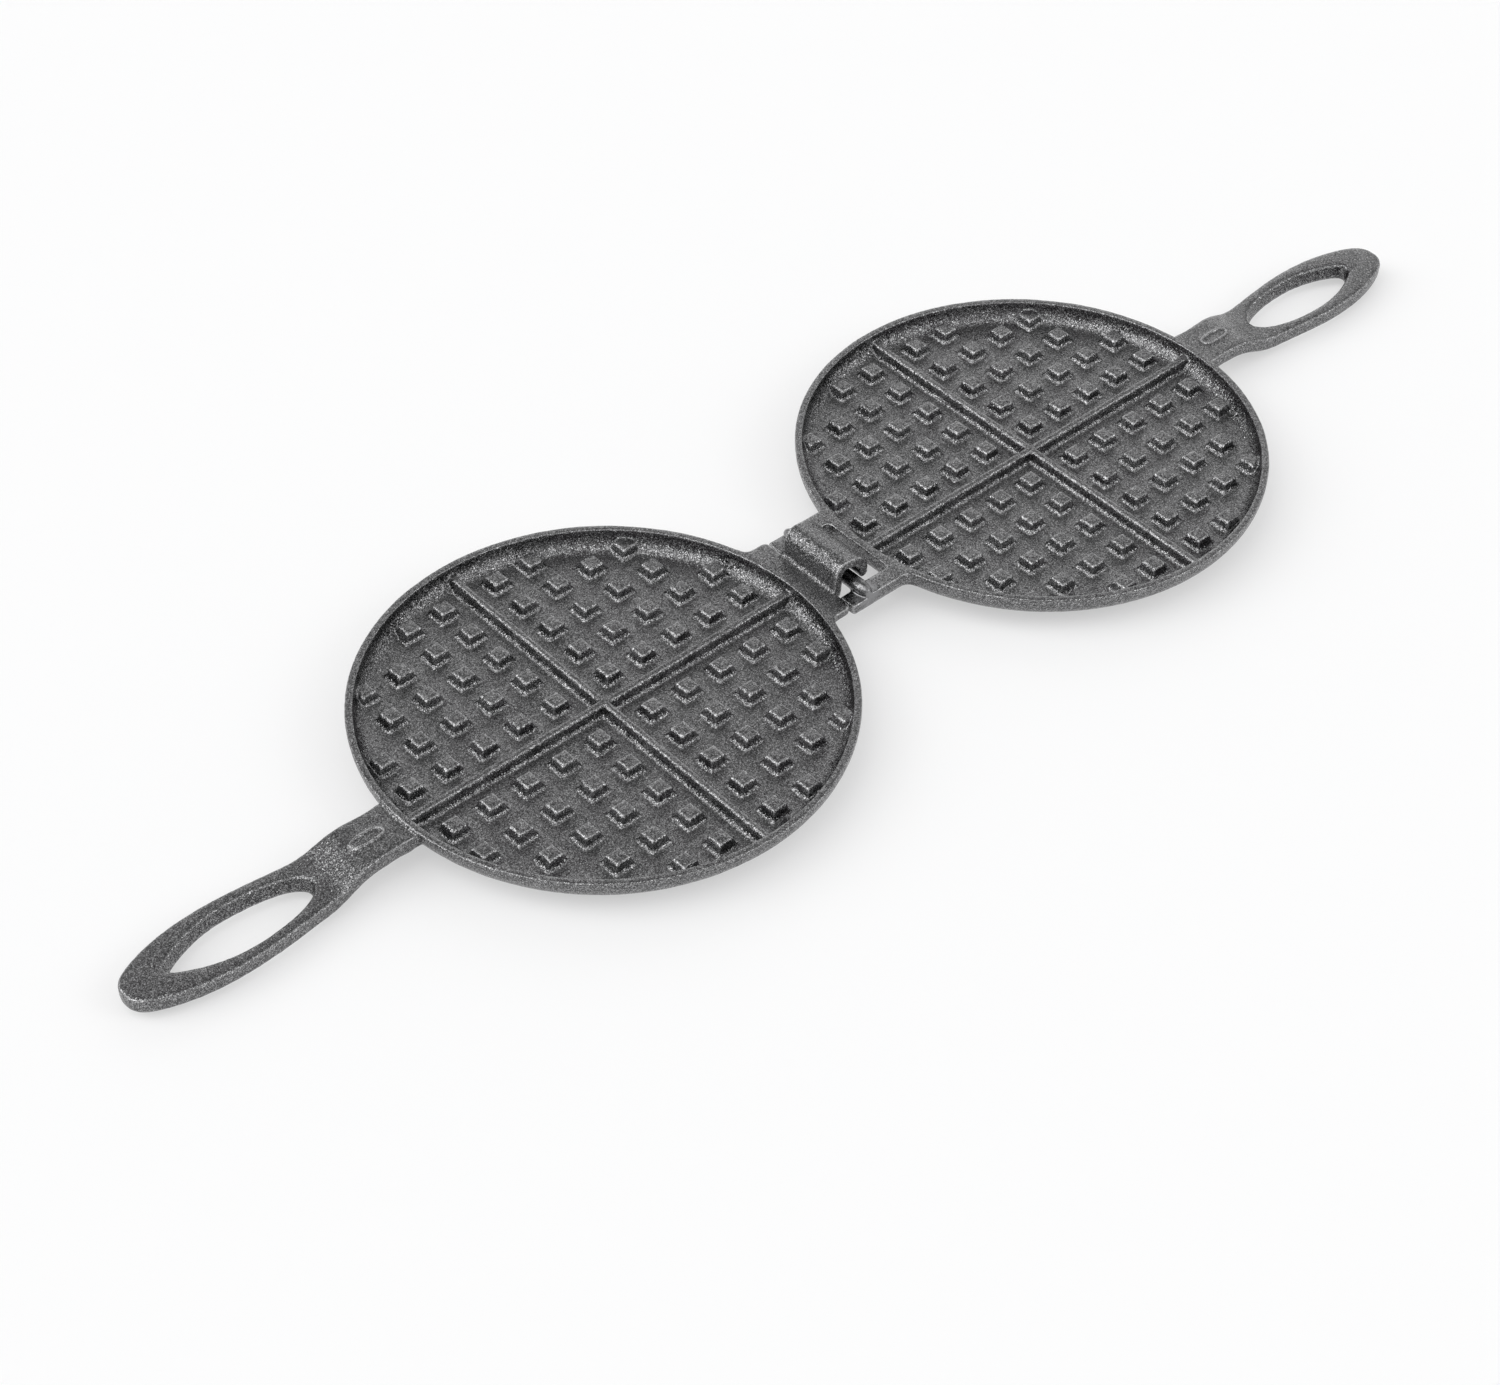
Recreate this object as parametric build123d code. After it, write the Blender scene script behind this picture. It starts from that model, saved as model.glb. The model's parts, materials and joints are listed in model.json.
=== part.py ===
"""Cast iron stovetop waffle iron: two griddle halves joined by a hook and bar hinge.

Frame: millimetres, +Z up. The origin lies on the surface that the iron rests on, under the hinge
axis, which runs along Y. The iron lies open and flat: the half with the hook is on the -X side and
the half with the bar on the +X side. A half is built in its own frame, with the hinge axis over the
origin, its dish towards -X and its rim plane at Z = 0, and is then lifted and turned into place.
"""

import math
import os

from build123d import *

# The dish and its rim
RIM_DIAMETER = 197.0
RIM_LAND = 3.2
RIM_CHAMFER = 0.5
RIM_HEIGHT = 18.0
DISH_DEPTH = 8.4
DISH_COVE = 7.0
DISH_WALL_DRAFT = 1.5
FLOOR_THICKNESS = 3.2

# The ring that the half stands on
FOOT_TO_RIM = 14.5
FOOT_WIDTH = 5.0
FOOT_DRAFT = 5.0
FOOT_CHAMFER = 1.0

# The pegs and the two ribs that cross the dish
PEG_PITCH = 17.3
PEG_HEIGHT = 4.8
PEG_TOP = 6.9
RIB_HEIGHT = 5.1
RIB_TOP = 3.2
RIB_TO_PEG = 13.2
PEG_TO_WALL = 2.0
RELIEF_DRAFT = 8.3
RELIEF_CHAMFER = 0.7
RELIEF_FLARE = 1.2
WALL_MERGE = 0.8

# The handle, measured outwards from the rim
HANDLE_REACH = 120.8
HANDLE_THICKNESS = 7.0
HANDLE_NECK_WIDTH = 21.8
HANDLE_PAD_WIDTH = 23.0
HANDLE_SHOULDER_WIDTH = 27.2
HANDLE_GRIP_WIDTH = 33.4
HANDLE_END_WIDTH = 29.6
HANDLE_END_SETBACK = 22.3
HANDLE_TIP_WIDTH = 20.8
HANDLE_TIP_SETBACK = 8.3
HANDLE_ROOT_DEPTH = 9.0
HANDLE_ROOT_DROP = 1.4
HANDLE_STEP_DOWN = 5.7
HANDLE_STEP_START = 17.0
HANDLE_STEP_LENGTH = 24.5
HANDLE_DRAFT = 3.0
HANDLE_ROOT_BLEND = 2.5

# The loop through the handle
LOOP_START = 38.9
LOOP_BLUNT_LENGTH = 32.6
LOOP_TO_TIP = 15.9
LOOP_WIDTH = 22.2
LOOP_LIP = 1.9
LOOP_DRAFT = 4.0
LOOP_POINT_RADIUS = 3.0

# The hinge
RIM_TO_AXIS = 17.2
LUG_WIDTH = 50.6
LUG_BLEND = 4.0
LUG_DRAFT = 4.0
HOOK_LUG_THICKNESS = 4.0
HOOK_LUG_CORNER = 2.6
BAR_DIAMETER = 6.2
BAR_LUG_THICKNESS = 6.5
BAR_END_SETBACK = 0.6
BAR_END_DIAMETER = 2.4
BAR_FADE = 5.0
BAR_FLARE = 1.8
ARM_REACH = 9.2
ARM_WIDTH = 7.8
ARM_CORNER = 1.0
ARM_DROP = 1.4
ARM_END_RADIUS = 2.4
HOOK_THICKNESS = 4.1
HOOK_CORNER = 2.4
HOOK_CROWN_SETBACK = 4.0
HOOK_SHOULDER = 5.0
HOOK_SPRING = 4.0
HOOK_TIP_DROP = 0.6
HOOK_FOOT_LEAN = 0.6
HOOK_ROOT_FILLET = 2.0
SLOT_TO_RIM = 0.4
SLOT_CORNER = 2.0
SLOT_DRAFT = 3.0

# Clearances
CLOSED_GAP = 0.4
ARM_TO_LUG = 0.7
BAR_TO_TIP = 0.7
BAR_TO_ROOT = 2.8
BAR_TO_CROWN = 5.0
HOOK_TO_ARM = 2.3
CUT_PAST = 1.0

RIM_RADIUS = RIM_DIAMETER / 2
DISH_RADIUS = RIM_RADIUS - RIM_LAND
UNDERSIDE = -(DISH_DEPTH + FLOOR_THICKNESS)
AXIS_HEIGHT = CLOSED_GAP / 2
HINGE_REACH = RIM_RADIUS + RIM_TO_AXIS
DISH_CENTRE = Pos(-HINGE_REACH, 0, 0)
HANDLE_LENGTH = RIM_RADIUS + HANDLE_REACH
HANDLE_STEP_INNER = RIM_RADIUS + HANDLE_STEP_START
HANDLE_STEP_OUTER = HANDLE_STEP_INNER + HANDLE_STEP_LENGTH
LOOP_MIDDLE = RIM_RADIUS + LOOP_START + LOOP_BLUNT_LENGTH
SLOT_WIDTH = LUG_WIDTH - 2 * ARM_WIDTH
HOOK_WIDTH = SLOT_WIDTH - 2 * HOOK_TO_ARM
HOOK_HEIGHT = AXIS_HEIGHT + BAR_DIAMETER / 2 + BAR_TO_CROWN + HOOK_THICKNESS
HOOK_ROOT_FACE = BAR_DIAMETER / 2 + BAR_TO_ROOT + HOOK_THICKNESS
HOOK_TIP_FACE = BAR_DIAMETER / 2 + BAR_TO_TIP + HOOK_THICKNESS
HOOK_LUG_END = ARM_REACH + ARM_TO_LUG


def drafted(height, degrees):
    """Return how far a wall of the given height leans over."""
    return height * math.tan(math.radians(degrees))


def bowl():
    """Return the bowl without its hollow: rounded wall, flat underside and foot ring."""
    cove_centre = DISH_RADIUS - DISH_COVE
    wall_depth = DISH_DEPTH - DISH_COVE
    wall_radius = DISH_COVE + RIM_LAND
    knuckle = wall_radius * math.sqrt(0.5)
    foot_outer = RIM_RADIUS - FOOT_TO_RIM
    foot_inner = foot_outer - FOOT_WIDTH
    foot_lean = drafted(RIM_HEIGHT + UNDERSIDE, FOOT_DRAFT)

    wall = Polyline((0, 0), (RIM_RADIUS, 0), (RIM_RADIUS, -wall_depth))
    turn = ThreePointArc(
        (RIM_RADIUS, -wall_depth),
        (cove_centre + knuckle, -wall_depth - knuckle),
        (cove_centre, -wall_depth - wall_radius),
    )
    under = Polyline(
        (cove_centre, -wall_depth - wall_radius),
        (foot_outer + foot_lean, UNDERSIDE),
        (foot_outer, -RIM_HEIGHT),
        (foot_inner, -RIM_HEIGHT),
        (foot_inner - foot_lean, UNDERSIDE),
        (0, UNDERSIDE),
        (0, 0),
    )
    section = make_face(wall + turn + under)
    section = chamfer(section.vertices().group_by(Axis.Y)[0], FOOT_CHAMFER)
    section = chamfer(section.vertices().sort_by_distance((RIM_RADIUS, 0, 0))[0], RIM_CHAMFER)
    return revolve(Plane.XZ * section, Axis.Z)


def hollow():
    """Return the hollow of the dish: a steep wall that runs into the floor in a wide cove."""
    cove_centre = DISH_RADIUS - DISH_COVE
    wall_depth = DISH_DEPTH - DISH_COVE
    knuckle = DISH_COVE * math.sqrt(0.5)
    mouth = DISH_RADIUS + drafted(CUT_PAST, DISH_WALL_DRAFT)
    wall = Polyline((0, -DISH_DEPTH), (0, CUT_PAST), (mouth, CUT_PAST), (DISH_RADIUS, -wall_depth))
    cove = ThreePointArc(
        (DISH_RADIUS, -wall_depth),
        (cove_centre + knuckle, -wall_depth - knuckle),
        (cove_centre, -DISH_DEPTH),
    )
    floor = Line((cove_centre, -DISH_DEPTH), (0, -DISH_DEPTH))
    section = make_face(wall + cove + floor)
    return revolve(Plane.XZ * section, Axis.Z)


def relief_flank(top_width, height):
    """Return the side of a peg or rib as (half width, level) points, from its foot to its top."""

    def half_width(level):
        return top_width / 2 + drafted(height - level, RELIEF_DRAFT)

    toe = half_width(RELIEF_FLARE) + RELIEF_FLARE
    shoulder = height - RELIEF_CHAMFER
    return [
        (toe, -CUT_PAST),
        (toe, 0),
        (half_width(RELIEF_FLARE), RELIEF_FLARE),
        (half_width(shoulder), shoulder),
        (top_width / 2 - RELIEF_CHAMFER, height),
    ]


def peg():
    """Return one square peg that stands at the origin, with a flared foot and a broken top edge."""
    flank = relief_flank(PEG_TOP, PEG_HEIGHT)
    return loft([Pos(0, 0, level) * Rectangle(2 * side, 2 * side) for side, level in flank], ruled=True)


def rib():
    """Return one rib along X, with the same leaning flanks, flare and broken edges as a peg."""
    flank = relief_flank(RIB_TOP, RIB_HEIGHT)
    other_flank = [(-side, level) for side, level in reversed(flank)]
    profile = make_face(Polyline(flank + other_flank, close=True))
    return extrude(Plane.YZ * profile, amount=RIM_RADIUS, both=True)


def peg_places():
    """Return the middle of every peg: rows in each quarter of the dish, as far as they fit."""
    rows = range(math.ceil(DISH_RADIUS / PEG_PITCH))
    places = []
    for row in rows:
        for column in rows:
            x = RIB_TO_PEG + column * PEG_PITCH
            y = RIB_TO_PEG + row * PEG_PITCH
            if math.hypot(x, y) < DISH_RADIUS - PEG_TO_WALL:
                places += [(x, y), (-x, y), (x, -y), (-x, -y)]
    return places


def waffle_relief():
    """Return the pegs and ribs, trimmed to run into the wall of the dish."""
    raised = [peg().moved(Location((x, y, 0))) for x, y in peg_places()]
    raised += [rib(), Rot(0, 0, 90) * rib()]
    limit = Pos(0, 0, PEG_HEIGHT / 2) * Cylinder(DISH_RADIUS + WALL_MERGE, 4 * PEG_HEIGHT)
    trimmed = [solid & limit for solid in raised]
    return Pos(0, 0, -DISH_DEPTH) * Compound(children=[s for piece in trimmed for s in piece.solids()])


def handle_outline(inset):
    """Return the handle's outline seen from above, drawn in by the given inset."""
    stations = [
        (RIM_RADIUS - HANDLE_ROOT_DEPTH, HANDLE_NECK_WIDTH),
        (RIM_RADIUS + HANDLE_ROOT_BLEND, HANDLE_NECK_WIDTH),
        (HANDLE_STEP_INNER, HANDLE_PAD_WIDTH),
        (HANDLE_STEP_OUTER, HANDLE_SHOULDER_WIDTH),
        (LOOP_MIDDLE, HANDLE_GRIP_WIDTH),
        (HANDLE_LENGTH - HANDLE_END_SETBACK, HANDLE_END_WIDTH),
        (HANDLE_LENGTH - HANDLE_TIP_SETBACK, HANDLE_TIP_WIDTH),
    ]
    side = [(-distance, width / 2 - inset) for distance, width in stations]
    tip = (inset - HANDLE_LENGTH, 0)
    upper = Spline(side + [tip], tangents=[(-1, 0), (0, -1)])
    lower = mirror(upper, Plane.XZ)
    root = Line((side[0][0], -side[0][1]), side[0])
    return make_face([upper, lower, root])


def handle_side_view():
    """Return the handle seen from the side: level at the rim, stepping down to a level grip."""
    root = HANDLE_ROOT_DEPTH - RIM_RADIUS
    end = -HANDLE_LENGTH - CUT_PAST
    high = -HANDLE_ROOT_DROP
    low = high - HANDLE_STEP_DOWN
    along = [(-1, 0), (-1, 0)]
    top_step = Spline((-HANDLE_STEP_INNER, high), (-HANDLE_STEP_OUTER, low), tangents=along)
    low_step = Pos(0, -HANDLE_THICKNESS) * top_step
    top_ends = Line((root, high), top_step @ 0), Line(top_step @ 1, (end, low))
    low_root = Line((root, high - HANDLE_THICKNESS), low_step @ 0)
    low_end = Line(low_step @ 1, (end, low - HANDLE_THICKNESS))
    closing = Line((root, high), low_root @ 0), Line(top_ends[1] @ 1, low_end @ 1)
    return make_face([*top_ends, top_step, low_step, low_root, low_end, *closing])


def loop_outline(inset):
    """Return the loop's outline: round towards the dish and pointed towards the tip."""
    half_width = LOOP_WIDTH / 2 - inset
    blunt = LOOP_BLUNT_LENGTH - inset
    sharp = HANDLE_LENGTH - LOOP_TO_TIP - LOOP_MIDDLE - inset
    radius = (sharp**2 + half_width**2) / (2 * half_width)
    bend = math.asin(sharp / radius) / 2
    middle = radius * math.sin(bend), half_width - radius * (1 - math.cos(bend))
    round_end = EllipticalCenterArc((0, 0), blunt, half_width, 90, arc_size=180)
    upper = ThreePointArc((0, half_width), middle, (sharp, 0))
    lower = mirror(upper, Plane.XZ)
    outline = make_face([round_end, upper, lower])
    outline = fillet(outline.vertices().sort_by(Axis.X)[-1], LOOP_POINT_RADIUS)
    return Pos(-LOOP_MIDDLE, 0) * Rot(0, 0, 180) * outline


def handle():
    """Return the handle, in the frame of its dish: a stepped bar with a loop through its grip."""
    grip_top = -HANDLE_ROOT_DROP - HANDLE_STEP_DOWN
    grip_bottom = grip_top - HANDLE_THICKNESS
    body_levels = [0, grip_bottom - CUT_PAST]
    outlines = [
        Pos(0, 0, level) * handle_outline(drafted(grip_top - level, HANDLE_DRAFT))
        for level in body_levels
    ]
    body = loft(outlines, ruled=True)
    body &= extrude(Plane.XZ * handle_side_view(), amount=HANDLE_GRIP_WIDTH, both=True)

    lip_top = grip_top - HANDLE_THICKNESS / 2
    upright = drafted(HANDLE_THICKNESS / 2, LOOP_DRAFT)
    flare = (LOOP_LIP - upright) / (lip_top - grip_bottom)
    loop_levels = [
        (grip_top + CUT_PAST, -drafted(CUT_PAST, LOOP_DRAFT)),
        (lip_top, upright),
        (grip_bottom - CUT_PAST, LOOP_LIP + flare * CUT_PAST),
    ]
    loop = loft([Pos(0, 0, level) * loop_outline(inset) for level, inset in loop_levels], ruled=True)
    return body - loop


def lug_plan(end, corner):
    """Return a hinge lug seen from above, blended into the rim on both sides."""
    lug = Pos((end - RIM_TO_AXIS - LUG_BLEND) / 2, 0) * Rectangle(end + RIM_TO_AXIS + LUG_BLEND, LUG_WIDTH)
    lug = fillet(lug.vertices().group_by(Axis.X)[-1], corner)
    half_width = LUG_WIDTH / 2
    meeting = math.sqrt(RIM_RADIUS**2 - half_width**2) - HINGE_REACH
    plan = lug + DISH_CENTRE * Circle(RIM_RADIUS)
    for side in (-half_width, half_width):
        plan = fillet(plan.vertices().sort_by_distance((meeting, side, 0))[0], LUG_BLEND)
    reach = LUG_WIDTH + 2 * LUG_BLEND
    return plan & Pos(end - reach / 2, 0) * Rectangle(reach, reach)


def hook():
    """Return the hook: it rises from the lug, arches over the bar and ends in a rounded tip."""
    crown = -HOOK_CROWN_SETBACK
    tip_inner = HOOK_TIP_FACE - HOOK_THICKNESS
    root_inner = HOOK_THICKNESS - HOOK_ROOT_FACE
    inner_height = HOOK_HEIGHT - HOOK_THICKNESS
    toe = -HOOK_ROOT_FACE - HOOK_ROOT_FILLET
    root_arc = ThreePointArc(
        (toe, 0),
        (toe + HOOK_ROOT_FILLET * math.sqrt(0.5), HOOK_ROOT_FILLET * (1 - math.sqrt(0.5))),
        (-HOOK_ROOT_FACE, HOOK_ROOT_FILLET),
    )
    tip_arc = ThreePointArc(
        (HOOK_TIP_FACE, HOOK_THICKNESS / 2 - HOOK_TIP_DROP),
        (HOOK_TIP_FACE - HOOK_THICKNESS / 2, -HOOK_TIP_DROP),
        (tip_inner, HOOK_THICKNESS / 2 - HOOK_TIP_DROP),
    )
    left = (crown, HOOK_SHOULDER)
    right = (crown, HOOK_SPRING)
    outer_left = EllipticalCenterArc(
        left, crown + HOOK_ROOT_FACE, HOOK_HEIGHT - HOOK_SHOULDER, 90, arc_size=90
    )
    outer_right = EllipticalCenterArc(
        right, HOOK_TIP_FACE - crown, HOOK_HEIGHT - HOOK_SPRING, 0, arc_size=90
    )
    inner_left = EllipticalCenterArc(
        left, crown - root_inner, inner_height - HOOK_SHOULDER, 90, arc_size=90
    )
    inner_right = EllipticalCenterArc(
        right, tip_inner - crown, inner_height - HOOK_SPRING, 0, arc_size=90
    )
    straights = [
        Line((-HOOK_ROOT_FACE, HOOK_ROOT_FILLET), (-HOOK_ROOT_FACE, HOOK_SHOULDER)),
        Line((HOOK_TIP_FACE, HOOK_SPRING), tip_arc @ 0),
        Line(tip_arc @ 1, (tip_inner, HOOK_SPRING)),
        Polyline(
            (root_inner, HOOK_SHOULDER),
            (root_inner, 0),
            (root_inner - HOOK_FOOT_LEAN, -HOOK_LUG_THICKNESS),
            (toe, -HOOK_LUG_THICKNESS),
            (toe, 0),
        ),
    ]
    profile = make_face([root_arc, tip_arc, outer_left, outer_right, inner_left, inner_right, *straights])
    arch = extrude(Plane.XZ * profile, amount=HOOK_WIDTH / 2, both=True)
    length = HOOK_TIP_FACE - toe + HOOK_CORNER
    plan = Pos(toe + length / 2, 0) * RectangleRounded(length, HOOK_WIDTH, HOOK_CORNER)
    return arch & extrude(plan, amount=2 * HOOK_HEIGHT, both=True)


def hook_lug():
    """Return the thin lug that carries the hook."""
    plan = lug_plan(-HOOK_LUG_END, HOOK_LUG_CORNER)
    return extrude(plan, amount=-HOOK_LUG_THICKNESS, taper=LUG_DRAFT)


def bar():
    """Return one half of the round bar, along +Y, with an end that fades out."""
    radius = BAR_DIAMETER / 2
    end = LUG_WIDTH / 2 - BAR_END_SETBACK
    fade = TangentArc((radius, end - BAR_FADE), (BAR_END_DIAMETER / 2, end), tangent=(0, 1))
    sides = Polyline(fade @ 1, (0, end), (0, 0), (radius, 0), fade @ 0)
    return revolve(make_face([fade, sides]), Axis.Y)


def bar_flare():
    """Return the hollow-flanked collar that blends one end of the bar into its arm."""
    radius = BAR_DIAMETER / 2
    wall = SLOT_WIDTH / 2
    start = wall - BAR_FLARE
    flank = EllipticalCenterArc((radius + BAR_FLARE, start), BAR_FLARE, BAR_FLARE, 90, arc_size=90)
    sides = Polyline(
        flank @ 1,
        (0, start),
        (0, wall + BAR_FLARE),
        (radius + BAR_FLARE, wall + BAR_FLARE),
        flank @ 0,
    )
    return revolve(make_face([flank, sides]), Axis.Y)


def bar_lug():
    """Return the lug with two arms and the round bar that joins them across the slot."""
    slab = extrude(lug_plan(ARM_REACH, ARM_CORNER), amount=-BAR_LUG_THICKNESS, taper=LUG_DRAFT)
    outline = Polyline(
        (-HINGE_REACH, 0),
        (0, 0),
        (0, -ARM_DROP),
        (ARM_REACH, -ARM_DROP),
        (ARM_REACH, -BAR_LUG_THICKNESS),
        (-HINGE_REACH, -BAR_LUG_THICKNESS),
        close=True,
    )
    side = make_face(outline)
    side = fillet(side.vertices().sort_by_distance((ARM_REACH, -BAR_LUG_THICKNESS, 0))[0], ARM_END_RADIUS)
    profile = extrude(Plane.XZ * side, amount=LUG_WIDTH, both=True)
    slab &= profile
    slot_start = SLOT_TO_RIM - RIM_TO_AXIS
    slot_length = ARM_REACH + SLOT_CORNER + CUT_PAST - slot_start
    slot_middle = Pos(slot_start + slot_length / 2, 0, CUT_PAST)
    slot = slot_middle * RectangleRounded(slot_length, SLOT_WIDTH, SLOT_CORNER)
    slab -= extrude(slot, amount=-BAR_LUG_THICKNESS - 2 * CUT_PAST, taper=SLOT_DRAFT)
    on_axis = Pos(0, 0, AXIS_HEIGHT)
    for turn in (0, 180):
        slab += on_axis * Rot(0, 0, turn) * bar_flare() & profile
        slab += on_axis * Rot(0, 0, turn) * bar()
    return slab


def half(lug):
    """Return one casting with the given hinge lug, in the frame of a half."""
    casting = DISH_CENTRE * (bowl() + handle())
    casting += lug
    casting -= DISH_CENTRE * hollow()
    return casting + DISH_CENTRE * waffle_relief()


def main():
    """Build both castings where they lie when the iron is open, and write them."""
    on_surface = Pos(0, 0, RIM_HEIGHT)
    castings = {
        "hook_griddle": on_surface * half(hook_lug() + hook()),
        "bar_griddle": on_surface * Rot(0, 0, 180) * half(bar_lug()),
    }
    os.makedirs("parts", exist_ok=True)
    for name, casting in castings.items():
        solid = casting.solids().sort_by(SortBy.VOLUME)[-1]
        solid.label = name
        export_step(solid, f"parts/{name}.step")
        print(name, len(casting.solids()), round(solid.volume), solid.is_valid)


main()
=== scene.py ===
"""Looks of a cast iron stovetop waffle iron that lies open on a pale floor.

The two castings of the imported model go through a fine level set, where they get the soft edges, the
filled corners and the slightly uneven skin of sand-cast iron. Everything is in metres, in the frame
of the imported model: +X runs along the open iron, +Y along the hinge and +Z up.
"""

from __future__ import annotations

import json
import logging
import math
from dataclasses import dataclass, field
from enum import Enum

import bpy
import numpy as np
import openvdb
from mathutils import Matrix, Vector
from mathutils.bvhtree import BVHTree

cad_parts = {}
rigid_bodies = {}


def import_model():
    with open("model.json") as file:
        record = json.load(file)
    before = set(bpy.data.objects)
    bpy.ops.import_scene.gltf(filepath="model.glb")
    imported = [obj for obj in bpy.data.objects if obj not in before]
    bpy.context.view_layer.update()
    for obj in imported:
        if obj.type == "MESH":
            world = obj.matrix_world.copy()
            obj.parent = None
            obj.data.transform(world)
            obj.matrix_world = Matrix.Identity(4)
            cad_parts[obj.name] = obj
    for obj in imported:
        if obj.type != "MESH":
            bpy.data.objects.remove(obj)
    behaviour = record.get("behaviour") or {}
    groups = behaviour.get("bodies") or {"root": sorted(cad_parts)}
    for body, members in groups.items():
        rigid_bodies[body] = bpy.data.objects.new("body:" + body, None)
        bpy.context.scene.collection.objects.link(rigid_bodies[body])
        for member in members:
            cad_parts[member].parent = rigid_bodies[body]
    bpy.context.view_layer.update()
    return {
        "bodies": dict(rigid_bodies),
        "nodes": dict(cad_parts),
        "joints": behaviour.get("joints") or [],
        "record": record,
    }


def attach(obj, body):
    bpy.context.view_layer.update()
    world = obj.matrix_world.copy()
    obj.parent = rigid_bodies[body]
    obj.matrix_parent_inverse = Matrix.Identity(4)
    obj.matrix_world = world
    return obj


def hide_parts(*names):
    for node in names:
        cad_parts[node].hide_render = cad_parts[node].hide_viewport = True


MM = 0.001
LOG = logging.getLogger("waffle_iron")


class Half(Enum):
    """The two castings, by the name of the node that holds each."""

    HOOK = "hook_griddle"
    BAR = "bar_griddle"


# ------------------------------------------------------------------------------------------------
# Level set
# ------------------------------------------------------------------------------------------------


def smoothstep(share: np.ndarray) -> np.ndarray:
    """Ease shares that run from 0 to 1 in and out."""
    return share * share * (3 - 2 * share)


@dataclass
class Mould:
    """A signed distance field, in millimetres, that a casting is shaped in.

    BLUR_REACH is where a blur is cut off, in standard deviations. FLAT_TOLERANCE is the difference
    in distance below which voxels far from the surface are stored as one, in mm.

    Attributes:
        voxel: Edge of a voxel, in mm.
        band: How far the distances are kept on each side of the surface, in voxels.
        corner: Grid index of the field's first voxel.
        distance: The distances, negative inside the iron.
    """

    BLUR_REACH = 3.0
    FLAT_TOLERANCE = 1e-3

    voxel: float
    band: int
    corner: np.ndarray = field(default_factory=lambda: np.zeros(3, int))
    distance: np.ndarray = field(default_factory=lambda: np.zeros((1, 1, 1), np.float32))

    @property
    def outside(self) -> float:
        """Return the distance that stands for everything beyond the band, in mm."""
        return self.band * self.voxel

    def _grid(self, points: np.ndarray, triangles: np.ndarray) -> openvdb.FloatGrid:
        """Turn a closed mesh into a level set grid.

        Args:
            points: Corner positions, in mm.
            triangles: Corner numbers of each triangle.

        Returns:
            The grid, with this mould's voxel and band.
        """
        return openvdb.FloatGrid.createLevelSetFromPolygons(
            points.astype(np.float32),
            triangles=triangles.astype(np.uint32),
            transform=openvdb.createLinearTransform(voxelSize=self.voxel),
            halfWidth=self.band,
        )

    def fill(self, points: np.ndarray, triangles: np.ndarray, margin: int = 4) -> None:
        """Fill the mould with a closed mesh.

        Args:
            points: Corner positions, in mm.
            triangles: Corner numbers of each triangle.
            margin: Empty voxels to leave round the mesh.
        """
        grid = self._grid(points, triangles)
        low, high = (np.array(corner) for corner in grid.evalActiveVoxelBoundingBox())
        self.corner = low - margin
        self.distance = np.full(tuple(high - low + 2 * margin + 1), self.outside, np.float32)
        grid.copyToArray(self.distance, ijk=tuple(int(i) for i in self.corner))

    def weld(self, points: np.ndarray, triangles: np.ndarray) -> None:
        """Add a second closed mesh to what is in the mould.

        Args:
            points: Corner positions, in mm.
            triangles: Corner numbers of each triangle.
        """
        added = np.full(self.distance.shape, self.outside, np.float32)
        grid = self._grid(points, triangles)
        grid.copyToArray(added, ijk=tuple(int(i) for i in self.corner))
        np.minimum(self.distance, added, out=self.distance)

    def soften(self, radius: float) -> None:
        """Round the edges and fill the corners with a Gaussian blur of the field.

        Args:
            radius: Standard deviation of the blur, in mm.
        """
        self.distance = self._blurred(self.distance, radius)

    def soften_end(self, radius: float, start: float, outward: float, blend: float) -> None:
        """Round the edges of what lies beyond a plane across X.

        Args:
            radius: Standard deviation of the blur, in mm.
            start: X of the plane, in mm.
            outward: -1 or 1, the side of the plane that is rounded.
            blend: Distance beyond the plane over which the rounding sets in, in mm.
        """
        share = np.clip((self.places(0) - start) * outward / blend, 0.0, 1.0)
        rows = np.flatnonzero(share)
        end = slice(rows[0], rows[-1] + 1)
        share = smoothstep(share).astype(np.float32)[end, None, None]
        rounded = self._blurred(self.distance[end], radius)
        self.distance[end] += share * (rounded - self.distance[end])

    def _blurred(self, values: np.ndarray, radius: float) -> np.ndarray:
        """Blur an array of voxels.

        Args:
            values: The array.
            radius: Standard deviation of the blur, in mm.

        Returns:
            The blurred array.
        """
        spread = radius / self.voxel
        reach = math.ceil(self.BLUR_REACH * spread)
        offsets = np.arange(-reach, reach + 1)
        weights = np.exp(-0.5 * (offsets / spread) ** 2)
        weights /= weights.sum()
        for axis in range(3):
            blurred = np.zeros_like(values)
            for offset, weight in zip(offsets, weights):
                blurred += np.float32(weight) * np.roll(values, offset, axis)
            values = blurred
        return values

    def unevenness(self, height: float, size: float, seed: int) -> None:
        """Raise and lower the surface by smooth random amounts.

        Args:
            height: Greatest change, in mm.
            size: Distance between neighbouring random values, in mm.
            seed: Seed of the random values.
        """
        shape = self.distance.shape
        step = size / self.voxel
        knots = [math.ceil(count / step) + 2 for count in shape]
        lumps = np.random.default_rng(seed).uniform(-height, height, knots).astype(np.float32)
        for axis, count in enumerate(shape):
            place = np.arange(count) / step
            left = place.astype(int)
            blend = place - left
            blend = smoothstep(blend).astype(np.float32)
            blend = blend.reshape([-1 if a == axis else 1 for a in range(3)])
            near, far = np.take(lumps, left, axis), np.take(lumps, left + 1, axis)
            lumps = near * (1 - blend) + far * blend
        self.distance += lumps

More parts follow.
